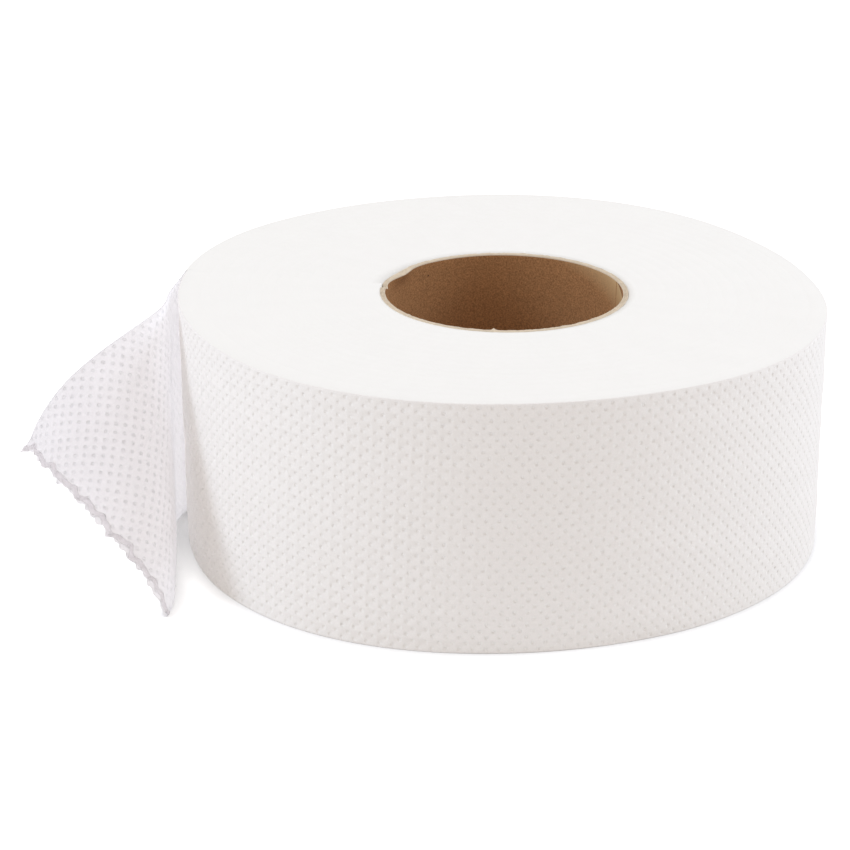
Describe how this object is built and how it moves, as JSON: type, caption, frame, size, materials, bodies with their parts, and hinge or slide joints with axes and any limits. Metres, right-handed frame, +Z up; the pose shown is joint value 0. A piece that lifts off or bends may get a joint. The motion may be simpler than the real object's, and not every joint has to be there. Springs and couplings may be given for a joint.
{
  "type": "jumbo toilet paper roll",
  "caption": "Wide flat roll of white embossed tissue wound on a cardboard tube, standing on its end, with a torn loose end curling off its side.",
  "frame": {"origin": "centre of the cardboard tube's bore at the end face that the roll stands on", "axes": "+Z up along the bore, the shortest extent; the loose end leaves the roll at -X and runs towards -Y"},
  "size_m": [0.2761, 0.228, 0.0889],
  "materials": {
    "tissue": "matte, embossed with fine dots",
    "kraft_board": "matte, bare fibre"
  },
  "bodies": {
    "root": {"paper_roll": "tissue", "cardboard_core": "kraft_board"}
  },
  "joints": []
}
